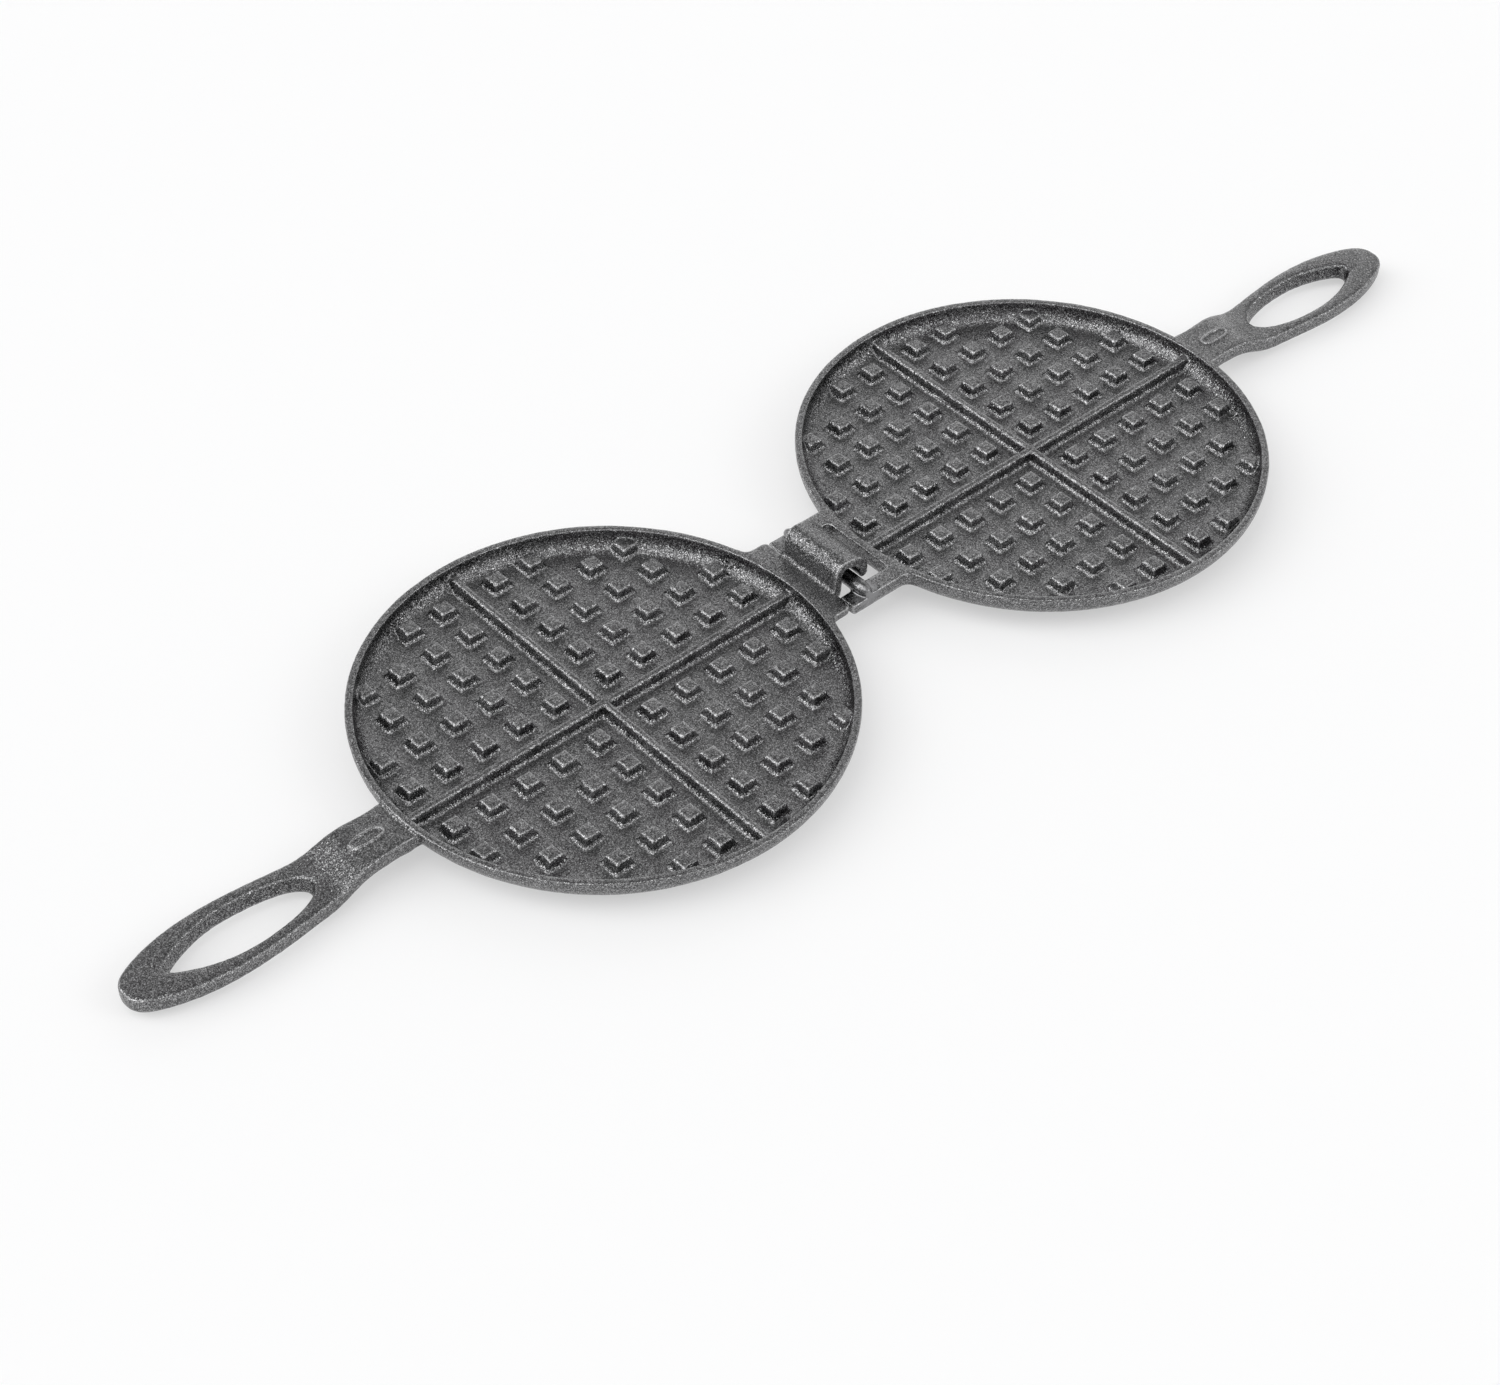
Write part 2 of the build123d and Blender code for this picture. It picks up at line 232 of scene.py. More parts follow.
    def places(self, axis: int) -> np.ndarray:
        """Return where the voxels lie along an axis, in mm."""
        return (np.arange(self.distance.shape[axis]) + self.corner[axis]) * self.voxel

    def convexity(self) -> np.ndarray:
        """Measure how sharply the surface bends, per mm: over 0 on edges, under 0 in corners.

        Returns:
            One value for each voxel.
        """
        bend = np.zeros_like(self.distance)
        for axis in range(3):
            beside = np.roll(self.distance, 1, axis) + np.roll(self.distance, -1, axis)
            bend += beside - 2 * self.distance
        return bend / self.voxel**2

    def sample(self, values: np.ndarray, mesh: bpy.types.Mesh) -> np.ndarray:
        """Read a value for each point of a mesh out of an array of the mould's voxels.

        Args:
            values: One value for each voxel.
            mesh: The mesh, in metres.

        Returns:
            The values, blended between the eight voxels round each point.
        """
        places = np.empty(len(mesh.vertices) * 3, np.float32)
        mesh.vertices.foreach_get("co", places)
        places = places.reshape(-1, 3) / MM / self.voxel - self.corner
        first = np.floor(places).astype(int)
        part = places - first
        found = np.zeros(len(places), np.float32)
        for step in np.ndindex(2, 2, 2):
            weight = np.prod(np.where(step, part, 1 - part), axis=1)
            found += weight * values[tuple((first + step).T)]
        return found

    def cast(self, name: str, thrift: float) -> bpy.types.Mesh:
        """Turn the field's surface into a mesh.

        Args:
            name: Name of the new mesh.
            thrift: Adaptivity from 0, all polygons, to 1, few.

        Returns:
            The mesh, smooth shaded, in metres.
        """
        grid = openvdb.FloatGrid(self.outside)
        grid.transform = openvdb.createLinearTransform(voxelSize=self.voxel)
        start = tuple(int(i) for i in self.corner)
        grid.copyFromArray(self.distance, ijk=start, tolerance=self.FLAT_TOLERANCE)
        points, triangles, quads = grid.convertToPolygons(isovalue=0.0, adaptivity=thrift)
        mesh = bpy.data.meshes.new(name)
        corners = np.concatenate([side[:, ::-1].ravel() for side in (triangles, quads)])
        sides = np.concatenate([np.full(len(triangles), 3), np.full(len(quads), 4)])
        starts = np.concatenate([[0], np.cumsum(sides)[:-1]])
        mesh.vertices.add(len(points))
        mesh.vertices.foreach_set("co", (points * MM).astype(np.float32).ravel())
        mesh.loops.add(len(corners))
        mesh.loops.foreach_set("vertex_index", corners.astype(np.int32))
        mesh.polygons.add(len(sides))
        mesh.polygons.foreach_set("loop_start", starts.astype(np.int32))
        mesh.polygons.foreach_set("use_smooth", np.ones(len(sides), bool))
        mesh.update(calc_edges=True)
        mesh.validate()
        return mesh


def mesh_arrays(mesh: bpy.types.Mesh) -> tuple[np.ndarray, np.ndarray]:
    """Read a mesh as arrays.

    Args:
        mesh: The mesh to read, in metres.

    Returns:
        Corner positions in mm, and the corner numbers of each triangle.
    """
    points = np.empty(len(mesh.vertices) * 3, np.float32)
    mesh.vertices.foreach_get("co", points)
    mesh.calc_loop_triangles()
    triangles = np.empty(len(mesh.loop_triangles) * 3, np.int32)
    mesh.loop_triangles.foreach_get("vertices", triangles)
    return points.reshape(-1, 3) / MM, triangles.reshape(-1, 3)


# ------------------------------------------------------------------------------------------------
# Node helpers and shared effects
# ------------------------------------------------------------------------------------------------


@dataclass
class NodeSheet:
    """A node tree with a short way to add nodes and links.

    Attributes:
        tree: The tree that the nodes go into.
    """

    tree: bpy.types.NodeTree

    def add(self, kind: str, inputs: dict | None = None, **settings: object) -> bpy.types.Node:
        """Add a node.

        Args:
            kind: Blender's name for the node type, without its leading "ShaderNode".
            inputs: Values or output sockets by input name or number.
            **settings: Properties to set on the node first.

        Returns:
            The new node.
        """
        node = self.tree.nodes.new(f"ShaderNode{kind}")
        for name, value in settings.items():
            setattr(node, name, value)
        for name, value in (inputs or {}).items():
            if isinstance(value, bpy.types.NodeSocket):
                self.tree.links.new(value, node.inputs[name])
            else:
                node.inputs[name].default_value = value
        return node

    def math(self, operation: str, *values: object) -> bpy.types.NodeSocket:
        """Add a Math node.

        Args:
            operation: Blender's name for the operation.
            *values: Numbers or output sockets.

        Returns:
            The node's output socket.
        """
        return self.add("Math", dict(enumerate(values)), operation=operation).outputs[0]

    def ramp(
        self,
        value: bpy.types.NodeSocket,
        start: tuple[float, float],
        end: tuple[float, float] = (0.0, 1.0),
        course: str = "LINEAR",
    ) -> bpy.types.NodeSocket:
        """Add a node that turns one range of values into another and stops at its ends.

        Args:
            value: Output socket of the value.
            start: The ends of the range that the value runs through.
            end: What those ends become.
            course: Blender's name for how the result runs between its ends.

        Returns:
            The result's socket.
        """
        inputs = {"Value": value}
        inputs |= {"From Min": start[0], "From Max": start[1], "To Min": end[0], "To Max": end[1]}
        return self.add("MapRange", inputs, interpolation_type=course).outputs[0]

    def turned(self, vector: object, kind: str, start: str, end: str) -> bpy.types.NodeSocket:
        """Add a node that turns a vector from one space into another.

        Args:
            vector: Output socket of the vector.
            kind: Blender's name for the kind of vector.
            start: Blender's name for the space that it is in.
            end: Blender's name for the space that it goes into.

        Returns:
            The turned vector's socket.
        """
        spaces = {"vector_type": kind, "convert_from": start, "convert_to": end}
        return self.add("VectorTransform", {0: vector}, **spaces).outputs[0]

    def blend(self, factor: object, low: object, high: object) -> bpy.types.NodeSocket:
        """Add a node that blends two colours.

        Args:
            factor: Share of the second colour.
            low: Colour at 0.
            high: Colour at 1.

        Returns:
            The blended colour's socket.
        """
        node = self.add("Mix", {0: factor, 6: low, 7: high}, data_type="RGBA")
        return node.outputs[2]


class SandSkin:
    """Shader node group for the skin of a sand casting: facets left by sand grains, pits and clouds.

    FLECKS_PER_GRAIN is the number of flecks to a grain, along a line. PIT_SOFTNESS is how smoothly
    the pits run together. PIT_DEPTH and RIPPLE_DEPTH are their shares of Height.
    """

    NAME = "sand_skin"
    SIZES = {"Grain Size": 0.0008, "Pit Size": 0.0014, "Cloud Size": 0.02}
    MASKS = ("Height", "Grain", "Speck", "Cloud")
    RIPPLE = {"Detail": 2.0, "Roughness": 0.6}
    CLOUD = {"Detail": 3.0, "Roughness": 0.55}
    FLECKS_PER_GRAIN = 1.3
    PIT_SOFTNESS = 0.6
    PIT_DEPTH = 0.45
    RIPPLE_DEPTH = 0.7

    @classmethod
    def group(cls) -> bpy.types.NodeTree:
        """Return the node group, built on first use.

        Returns:
            The group. Its outputs are Height, Grain, Speck and Cloud, each from 0 to 1, and Tilt, a
            vector with each part from -1 to 1.
        """
        if cls.NAME in bpy.data.node_groups:
            return bpy.data.node_groups[cls.NAME]
        tree = bpy.data.node_groups.new(cls.NAME, "ShaderNodeTree")
        for name, default in cls.SIZES.items():
            socket = tree.interface.new_socket(name, in_out="INPUT", socket_type="NodeSocketFloat")
            socket.default_value = default
        for name in cls.MASKS:
            tree.interface.new_socket(name, in_out="OUTPUT", socket_type="NodeSocketFloat")
        tree.interface.new_socket("Tilt", in_out="OUTPUT", socket_type="NodeSocketVector")
        sheet = NodeSheet(tree)
        sizes = tree.nodes.new("NodeGroupInput").outputs
        place = sheet.add("TexCoord").outputs["Object"]
        fine = {"Vector": place, "Scale": sheet.math("DIVIDE", 1.0, sizes["Grain Size"])}
        ripple = sheet.add("TexNoise", fine | cls.RIPPLE).outputs
        wide = {"Vector": place, "Scale": sheet.math("DIVIDE", 1.0, sizes["Cloud Size"])}
        found = cls._facets(sheet, fine, ripple["Color"], sizes["Grain Size"])
        found["Height"] = cls._height(sheet, place, ripple[0], sizes["Pit Size"])
        found["Cloud"] = sheet.add("TexNoise", wide | cls.CLOUD).outputs[0]
        leave = tree.nodes.new("NodeGroupOutput").inputs
        for name, socket in found.items():
            tree.links.new(socket, leave[name])
        return tree

    @classmethod
    def _facets(
        cls, sheet: NodeSheet, fine: dict, ripple: bpy.types.NodeSocket, size: bpy.types.NodeSocket
    ) -> dict[str, bpy.types.NodeSocket]:
        """Add the facets that sand grains leave, each with a lean of its own, and random flecks whose
        values the iron's colour uses for painted glints and painted pit shade.

        Args:
            sheet: The sheet that the nodes go into.
            fine: The place on the casting and the scale of the grain, by input name.
            ripple: Colour that bends the facets' outlines.
            size: Size of a grain.

        Returns:
            The sockets for Tilt, Grain and Speck.
        """
        shift = sheet.add("VectorMath", {0: ripple, 3: size}, operation="SCALE").outputs[0]
        bent = sheet.add("VectorMath", {0: fine["Vector"], 1: shift}, operation="ADD").outputs[0]
        facets = sheet.add("TexVoronoi", {"Vector": bent, "Scale": fine["Scale"]}, feature="F1")
        centred = {0: facets.outputs["Color"], 1: (2.0, 2.0, 2.0), 2: (-1.0, -1.0, -1.0)}
        tilt = sheet.add("VectorMath", centred, operation="MULTIPLY_ADD").outputs[0]
        scale = sheet.math("MULTIPLY", fine["Scale"], cls.FLECKS_PER_GRAIN)
        flecks = sheet.add("TexVoronoi", {"Vector": bent, "Scale": scale}, feature="F1")
        bright = sheet.add("SeparateXYZ", {0: flecks.outputs["Color"]}).outputs
        return {"Tilt": tilt, "Grain": bright["X"], "Speck": bright["Y"]}

    @classmethod
    def _height(
        cls,
        sheet: NodeSheet,
        place: bpy.types.NodeSocket,
        ripple: bpy.types.NodeSocket,
        size: bpy.types.NodeSocket,
    ) -> bpy.types.NodeSocket:
        """Add the height of the skin: soft pits with ripples over them.

        Args:
            sheet: The sheet that the nodes go into.
            place: The place on the casting.
            ripple: Height of the ripples.
            size: Distance between pits.

        Returns:
            The height's socket.
        """
        inputs = {"Vector": place, "Scale": sheet.math("DIVIDE", 1.0, size)}
        inputs["Smoothness"] = cls.PIT_SOFTNESS
        pits = sheet.add("TexVoronoi", inputs, feature="SMOOTH_F1").outputs["Distance"]
        pits = sheet.math("MULTIPLY", pits, cls.PIT_DEPTH)
        return sheet.math("ADD", pits, sheet.math("MULTIPLY", ripple, cls.RIPPLE_DEPTH))


# ------------------------------------------------------------------------------------------------
# Finishes
# ------------------------------------------------------------------------------------------------


@dataclass(frozen=True)
class IronMasks:
    """The sockets that the colour, the roughness and the normal of the iron follow.

    Attributes:
        skin: Outputs of the sand_skin group.
        upright: The surface's own normal.
        patch: 0 in dull patches and 1 in clear ones.
        slope: 0 on level faces and 1 on steep ones; the grain and the painted shade of steep faces follow
            it.
        worn: Edge wear with a painted highlight: share of the skin that an edge has lost, whose lighter
            colour also stands in for the highlights along the edges.
        rubbed: How much the iron rubs on iron.
        grain: Share of the grain that is left.
    """

    skin: bpy.types.bpy_prop_collection
    upright: bpy.types.NodeSocket
    patch: bpy.types.NodeSocket
    slope: bpy.types.NodeSocket
    worn: bpy.types.NodeSocket
    rubbed: bpy.types.NodeSocket
    grain: bpy.types.NodeSocket


@dataclass(frozen=True)
class SeasonedIron:
    """Bare cast iron with a burnt-in oil skin: dark, satin and grainy, with painted shade on steep faces
    and in specks, painted glints in flecks, and a painted highlight on edges with wear.

    Attributes:
        name: Name of the material.
        dark: Colour in the dull patches.
        light: Colour in the clear patches.
        wall: Painted shade: a darker colour for steep faces, such as the sides of pegs and ribs, that
            stands in for the shade on them, between their bright facets.
        smooth: Roughness in the clear patches.
        dull: Roughness in the dull patches.
        patch_range: Cloud values at which a patch is dull and clear.
        metal: Metallic value.
        grain_size: Size of the sand grain, in metres.
        pit_size: Distance between pits, in metres.
        cloud_size: Size of the dull and clear patches, in metres.
        relief: Height of the grain, in metres.
        tilt: How far the grain's facets lean, as a share of the upright.
        painted_glint: Colour of bright flecks, a painted glint that stands in for the glitter of the
            grain's facets.
        painted_glint_power: How rare the painted glints are.
        pit_shade: Painted shade: a near-black colour for dark specks, set at random among the grains, that
            stands in for the shade in the pits between them.
        pit_shade_power: How rare the specks of painted pit shade are.
        flat_grain: Share of the grain that level faces keep, as the sand drags on steep ones.
        steep: Upright part of the normal at which the grain and the painted shade of steep faces are full.
        wear_and_highlight_colour: Colour of edges that have lost their skin, made light enough to stand in
            for the highlights along them as well: a painted highlight.
        wear_and_highlight_smooth: Roughness of those edges.
        wear_and_highlight_base: Share of the wear and painted highlight that the darkest grains show.
        rubbed_light: Colour where iron rubs on iron.
        rubbed_smooth: Roughness where iron rubs on iron.
        rubbed_off: Share of the grain that is rubbed off there.
    """

    name: str
    dark: tuple[float, float, float, float] = (0.110, 0.110, 0.112, 1.0)
    light: tuple[float, float, float, float] = (0.150, 0.150, 0.152, 1.0)
    # Painted shade: steep faces get this darker colour for the shade on the sides of pegs and ribs.
    wall: tuple[float, float, float, float] = (0.075, 0.075, 0.077, 1.0)
    smooth: float = 0.16
    dull: float = 0.22
    patch_range: tuple[float, float] = (0.35, 0.65)
    metal: float = 1.0
    grain_size: float = 0.0004
    pit_size: float = 0.0013
    cloud_size: float = 0.018
    relief: float = 0.00010
    tilt: float = 0.28
    # Painted glint: bright flecks in the colour stand in for the glitter of the grain's facets.
    painted_glint: tuple[float, float, float, float] = (0.50, 0.50, 0.505, 1.0)
    painted_glint_power: float = 3.0
    # Painted shade: dark specks at random stand in for the shade in pits between the grains.
    pit_shade: tuple[float, float, float, float] = (0.03, 0.03, 0.031, 1.0)
    pit_shade_power: float = 3.0
    flat_grain: float = 0.7
    steep: float = 0.8
    # Edge wear and painted highlight: convex edges get a lighter colour, which stands in for the
    # highlights along them too.
    wear_and_highlight_colour: tuple[float, float, float, float] = (0.42, 0.42, 0.425, 1.0)
    wear_and_highlight_smooth: float = 0.14
    wear_and_highlight_base: float = 0.4
    rubbed_light: tuple[float, float, float, float] = (0.24, 0.24, 0.245, 1.0)
    rubbed_smooth: float = 0.14
    rubbed_off: float = 0.55

    def material(self) -> bpy.types.Material:
        """Build the material.

        Returns:
            The finished material.
        """
        made = bpy.data.materials.new(self.name)
        made.use_nodes = True
        made.node_tree.nodes.clear()
        sheet = NodeSheet(made.node_tree)
        masks = self._masks(sheet)
        inputs = {
            "Base Color": self._colour(sheet, masks),
            "Roughness": self._roughness(sheet, masks),
            "Metallic": self.metal,
            "Normal": self._normal(sheet, masks),
        }
        shader = sheet.add("BsdfPrincipled", inputs)
        sheet.add("OutputMaterial", {"Surface": shader.outputs[0]})
        return made

    def _masks(self, sheet: NodeSheet) -> IronMasks:
        """Add the skin and the masks that the rest of the material follows.

        Args:
            sheet: The sheet that the nodes go into.

        Returns:
            The masks.
        """
        sizes = {"Grain Size": self.grain_size, "Pit Size": self.pit_size, "Cloud Size": self.cloud_size}
        skin = sheet.add("Group", sizes, node_tree=SandSkin.group()).outputs
        upright = sheet.add("NewGeometry").outputs["Normal"]
        facing = sheet.turned(upright, "NORMAL", "WORLD", "OBJECT")
        level = sheet.math("ABSOLUTE", sheet.add("SeparateXYZ", {0: facing}).outputs["Z"])
        slope = sheet.ramp(level, (1.0, self.steep))
        rubbed = sheet.add("Attribute", attribute_name=Griddle.RUBBED).outputs["Fac"]
        worn = sheet.add("Attribute", attribute_name=Griddle.WEAR_AND_HIGHLIGHT).outputs["Fac"]
        kept = sheet.math("SUBTRACT", 1.0, sheet.math("MULTIPLY", rubbed, self.rubbed_off))
        coarse = sheet.ramp(slope, (0.0, 1.0), (self.flat_grain, 1.0))
        return IronMasks(
            skin=skin,
            upright=upright,
            patch=sheet.ramp(skin["Cloud"], self.patch_range),
            slope=slope,
            worn=sheet.math("MULTIPLY", worn, sheet.math("ADD", self.wear_and_highlight_base, skin["Grain"])),
            rubbed=rubbed,
            grain=sheet.math("MULTIPLY", kept, coarse),
        )

    def _colour(self, sheet: NodeSheet, masks: IronMasks) -> bpy.types.NodeSocket:
        """Add the colour: patches, painted shade on steep faces and in dark specks, painted glints in
        bright flecks, edge wear with a painted highlight, and rubbed places.

        Args:
            sheet: The sheet that the nodes go into.
            masks: The masks that the colour follows.

        Returns:
            The colour's socket.
        """
        colour = sheet.blend(masks.patch, self.dark, self.light)
        # Painted shade: steep faces blend towards the darker wall colour.
        colour = sheet.blend(masks.slope, colour, self.wall)
        # Painted shade: dark specks at random stand in for the shade in pits between the grains.
        specks = sheet.math("POWER", masks.skin["Speck"], self.pit_shade_power)
        colour = sheet.blend(sheet.math("MULTIPLY", specks, masks.grain), colour, self.pit_shade)
        # Painted glint: bright flecks stand in for the glitter of the grain's facets.
        flecks = sheet.math("POWER", masks.skin["Grain"], self.painted_glint_power)
        colour = sheet.blend(sheet.math("MULTIPLY", flecks, masks.grain), colour, self.painted_glint)
        # Edge wear and painted highlight: convex edges blend to a lighter colour.
        colour = sheet.blend(masks.worn, colour, self.wear_and_highlight_colour)
        return sheet.blend(masks.rubbed, colour, self.rubbed_light)

    def _roughness(self, sheet: NodeSheet, masks: IronMasks) -> bpy.types.NodeSocket:
        """Add the roughness, lower in clear patches, where the iron is rubbed and on edges that have lost
        their skin.

        Args:
            sheet: The sheet that the nodes go into.
            masks: The masks that the roughness follows.

        Returns:
            The roughness's socket.
        """
        roughness = sheet.ramp(masks.patch, (0.0, 1.0), (self.dull, self.smooth))
        polish = sheet.math("MULTIPLY", masks.rubbed, self.rubbed_smooth - self.smooth)
        burnish = sheet.math("MULTIPLY", masks.worn, self.wear_and_highlight_smooth - self.dull)
        return sheet.math("ADD", sheet.math("ADD", roughness, polish), burnish)

    def _normal(self, sheet: NodeSheet, masks: IronMasks) -> bpy.types.NodeSocket:
        """Add the normal: facets that lean each their own way, with the skin's relief over them.

        Args:
            sheet: The sheet that the nodes go into.
            masks: The masks that the normal follows.

        Returns:
            The normal's socket.
        """
        share = sheet.math("MULTIPLY", masks.grain, self.tilt)
        lean = sheet.add("VectorMath", {0: masks.skin["Tilt"], 3: share}, operation="SCALE").outputs[0]
        lean = sheet.turned(lean, "VECTOR", "OBJECT", "WORLD")
        leaning = sheet.add("VectorMath", {0: masks.upright, 1: lean}, operation="ADD").outputs[0]
        leaning = sheet.add("VectorMath", {0: leaning}, operation="NORMALIZE").outputs[0]
        height = sheet.math("MULTIPLY", masks.skin["Height"], masks.grain)
        inputs = {"Height": height, "Distance": self.relief, "Strength": 1.0, "Normal": leaning}
        return sheet.add("Bump", inputs).outputs[0]


@dataclass(frozen=True)
class PaleFloor:
    """Milky white acrylic for the floor, lit from below as well, so that shadows on it stay light.

    Attributes:
        name: Name of the material.
        colour: Colour of the acrylic.
        glow: Colour of the light from below.
        glow_share: Share of the light that comes from below.
    """

    name: str = "pale_floor"
    colour: tuple[float, float, float, float] = (0.89, 0.89, 0.892, 1.0)
    glow: tuple[float, float, float, float] = (0.97, 0.97, 0.972, 1.0)
    glow_share: float = 0.48

    def material(self) -> bpy.types.Material:
        """Build the material.

        Returns:
            The finished material.
        """
        made = bpy.data.materials.new(self.name)
        made.use_nodes = True
        made.node_tree.nodes.clear()
        sheet = NodeSheet(made.node_tree)
        lit = sheet.add("BsdfDiffuse", {"Color": self.colour})
        glowing = sheet.add("Emission", {"Color": self.glow})
        shader = sheet.add("MixShader", {0: self.glow_share, 1: lit.outputs[0], 2: glowing.outputs[0]})
        sheet.add("OutputMaterial", {"Surface": shader.outputs[0]})
        return made


# ------------------------------------------------------------------------------------------------
# Castings
# ------------------------------------------------------------------------------------------------


@dataclass(frozen=True)
class Cartouche:
    """A bare raised oval outline on the root of a handle. Sizes are in mm.

    Attributes:
        tip_to_middle: Distance from the handle's tip to the middle of the oval.
        length: Length of the outline along the handle.
        width: Width of the outline.
        squareness: Exponent of the oval, where 2 is an ellipse.
        bead: Width of the raised line.
        rise: How far the line stands above the handle.
        steps: Points along the line.
        facets: Points round the line.
        drop: Height from which the line is dropped on to the handle.
    """

    tip_to_middle: float = 107.0
    length: float = 15.5
    width: float = 6.7
    squareness: float = 2.6
    bead: float = 1.5
    rise: float = 0.75
    steps: int = 72
    facets: int = 8
    drop: float = 1000.0

    def mesh(self, tip: float, outward: float, surface: BVHTree) -> tuple[np.ndarray, np.ndarray]:
        """Sweep a thin round bead along the oval, on top of the handle.

        Args:
            tip: X of the handle's tip, in mm.
            outward: -1 or 1, the side of the hinge that the handle lies on.
            surface: The casting's surface, in metres.

        Returns:
            Corner positions in mm, and the corner numbers of each triangle.
        """
        line = self._line(tip - outward * self.tip_to_middle, surface)
        ahead = np.roll(line, -1, 0) - np.roll(line, 1, 0)
        ahead /= np.linalg.norm(ahead, axis=1)[:, None]
        side = np.cross(ahead, (0.0, 0.0, 1.0))
        side /= np.linalg.norm(side, axis=1)[:, None]
        over = np.cross(side, ahead)
        angles = np.arange(self.facets) * 2 * math.pi / self.facets
        ring = side[:, None] * np.cos(angles)[:, None] + over[:, None] * np.sin(angles)[:, None]
        points = (line[:, None] + self.bead / 2 * ring).reshape(-1, 3)
        triangles = []
        for step in range(self.steps):
            for facet in range(self.facets):
                this, after = step * self.facets, (step + 1) % self.steps * self.facets
                beside = (facet + 1) % self.facets
                triangles.append((this + facet, this + beside, after + beside))
                triangles.append((this + facet, after + beside, after + facet))
        return points, np.array(triangles)

    def _line(self, middle: float, surface: BVHTree) -> np.ndarray:
        """Lay the middle of the bead on the handle.

        Args:
            middle: X of the middle of the oval, in mm.
            surface: The casting's surface, in metres.

        Returns:
            Points along the oval, in mm.
        """
        line = []
        for step in range(self.steps):
            turn = 2 * math.pi * step / self.steps
            x = middle + (self.length - self.bead) / 2 * self._bulge(math.cos(turn))
            y = (self.width - self.bead) / 2 * self._bulge(math.sin(turn))
            above = Vector((x, y, self.drop)) * MM
            level = surface.ray_cast(above, Vector((0, 0, -1)))[0].z / MM
            line.append((x, y, level + self.rise - self.bead / 2))
        return np.array(line)

    def _bulge(self, share: float) -> float:
        """Push a cosine or sine outwards, as the oval's exponent asks."""
        return math.copysign(abs(share) ** (2 / self.squareness), share)


@dataclass(frozen=True)
class RoundWall:
    """The round outside of a dish's wall, from its underside upwards. Sizes are in mm.

    Attributes:
        tip_to_dish: Distance from the handle's tip to the middle of the dish.
        ring: Distance from the middle of the dish to the middle of the wall's round.
        height: Height of the middle of the round.
        radius: Radius of the round.
        top: Height up to which the wall is cleaned.
        reach: Distance from the middle of the round, outwards, within which it is cleaned.
        handle_width: Width that is left to the handle.
        handle_base: Height of the handle's underside at the wall.
    """

    tip_to_dish: float = 219.3
    ring: float = 88.3
    height: float = 16.6
    radius: float = 10.2
    top: float = 10.4
    reach: float = 12.0
    handle_width: float = 34.0
    handle_base: float = 9.6

    def clean(self, mould: Mould, tip: float, outward: float) -> None:
        """Cut back the toes of the ribs and the outermost pegs where they stand out of the wall.

        Args:
            mould: The mould that holds the casting.
            tip: X of the handle's tip, in mm.
            outward: -1 or 1, the side of the hinge that the handle lies on.
        """
        low = mould.places(2) < self.top
        x = (mould.places(0) - tip)[:, None, None] + outward * self.tip_to_dish
        y = mould.places(1)[None, :, None]
        z = mould.places(2)[None, None, low]
        away = np.hypot(x, y) - self.ring
        proud = np.minimum(np.hypot(away, z - self.height) - self.radius, mould.outside)
        handle = (x * outward > 0) & (abs(y) < self.handle_width / 2) & (z > self.handle_base)
        beside = (away > 0) & (away < self.reach) & ~handle
        values = mould.distance[..., low]
        mould.distance[..., low] = np.where(beside, np.maximum(values, proud), values)


